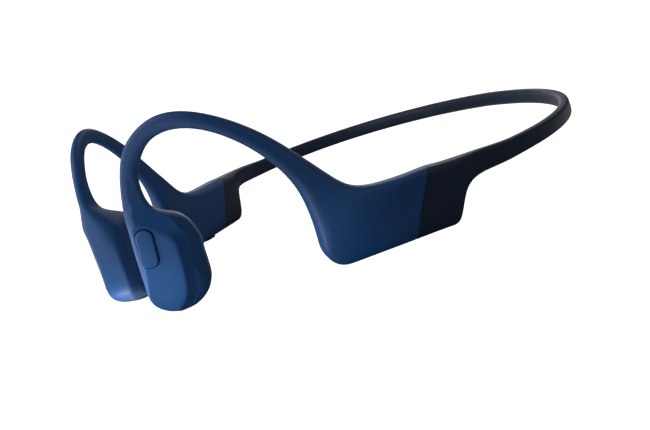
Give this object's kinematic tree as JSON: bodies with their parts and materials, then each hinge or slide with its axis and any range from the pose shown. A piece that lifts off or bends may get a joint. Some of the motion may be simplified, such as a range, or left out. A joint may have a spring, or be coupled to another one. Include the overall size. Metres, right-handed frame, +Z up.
{
  "type": "bone conduction headphones",
  "caption": "Wireless open-ear bone conduction headphones: cheek pods on ear hooks, modules behind the ears, joined by a springy neckband.",
  "frame": {"origin": "on the table under the middle of the headphones", "axes": "+X to the wearer's front, +Y to the wearer's left, +Z up"},
  "size_m": [0.1409, 0.1466, 0.0515],
  "materials": {
    "blue_silicone": "matte",
    "dark_silicone": "matte",
    "black_plastic": "satin",
    "titanium": "satin",
    "copper": "satin",
    "steel": "satin",
    "nickel": "bright",
    "gold": "bright",
    "circuit_board": "satin",
    "cell_foil": "satin",
    "clear_plastic": "clear"
  },
  "bodies": {
    "neckband": {"neckband_skin_middle": "dark_silicone", "neckband_wire_middle": "titanium", "neckband_lead_middle": "copper"},
    "left_arm": {"left_arm_skin": "blue_silicone", "left_contact_pad": "blue_silicone", "left_band_skin": "dark_silicone", "left_case_outer": "black_plastic", "left_case_inner": "black_plastic", "left_hook_wire": "titanium", "left_band_wire": "titanium", "left_hook_lead": "copper", "left_band_lead": "copper", "left_voice_coil": "copper", "left_leaf_spring": "steel", "left_top_plate": "steel", "left_driver_yoke": "nickel", "left_driver_magnet": "nickel", "multifunction_switch": "black_plastic", "multifunction_board": "circuit_board", "battery_cell": "cell_foil", "battery_protection_board": "circuit_board"},
    "right_arm": {"right_arm_skin": "blue_silicone", "right_contact_pad": "blue_silicone", "right_band_skin": "dark_silicone", "right_case_outer": "black_plastic", "right_case_inner": "black_plastic", "charging_port": "black_plastic", "volume_up_switch": "black_plastic", "volume_down_switch": "black_plastic", "right_hook_wire": "titanium", "right_band_wire": "titanium", "right_hook_lead": "copper", "right_band_lead": "copper", "right_voice_coil": "copper", "right_leaf_spring": "steel", "right_top_plate": "steel", "processor_shield": "steel", "microphone_front": "steel", "microphone_rear": "steel", "right_driver_yoke": "nickel", "right_driver_magnet": "nickel", "charging_magnet_front": "nickel", "charging_magnet_rear": "nickel", "charging_contact_front": "gold", "charging_contact_rear": "gold", "main_board": "circuit_board", "status_light_pipe": "clear_plastic", "antenna_chip": "clear_plastic"},
    "multifunction_button": {"multifunction_button": "blue_silicone"},
    "volume_up_key": {"volume_up_key": "black_plastic"},
    "volume_down_key": {"volume_down_key": "black_plastic"}
  },
  "joints": [
    {"name": "left_arm_flex", "type": "hinge", "parent": "neckband", "child": "left_arm", "pos_m": [-0.06221, 0.038, 0.0146], "axis": [0, 0, 1], "range_deg": [-3, 26], "stiffness_Nm_per_rad": 0.2},
    {"name": "right_arm_flex", "type": "hinge", "parent": "neckband", "child": "right_arm", "pos_m": [-0.06221, -0.038, 0.0146], "axis": [0, 0, -1], "range_deg": [-3, 26], "stiffness_Nm_per_rad": 0.2},
    {"name": "multifunction_press", "type": "slide", "parent": "left_arm", "child": "multifunction_button", "axis": [-0.4695, -0.8829, 0], "range_m": [0, 0.00035], "stiffness_N_per_m": 600, "springref_m": -0.0004},
    {"name": "volume_up_press", "type": "slide", "parent": "right_arm", "child": "volume_up_key", "axis": [0, 0, 1], "range_m": [0, 0.0003], "stiffness_N_per_m": 800, "springref_m": -0.0005},
    {"name": "volume_down_press", "type": "slide", "parent": "right_arm", "child": "volume_down_key", "axis": [0, 0, 1], "range_m": [0, 0.0003], "stiffness_N_per_m": 800, "springref_m": -0.0005}
  ]
}
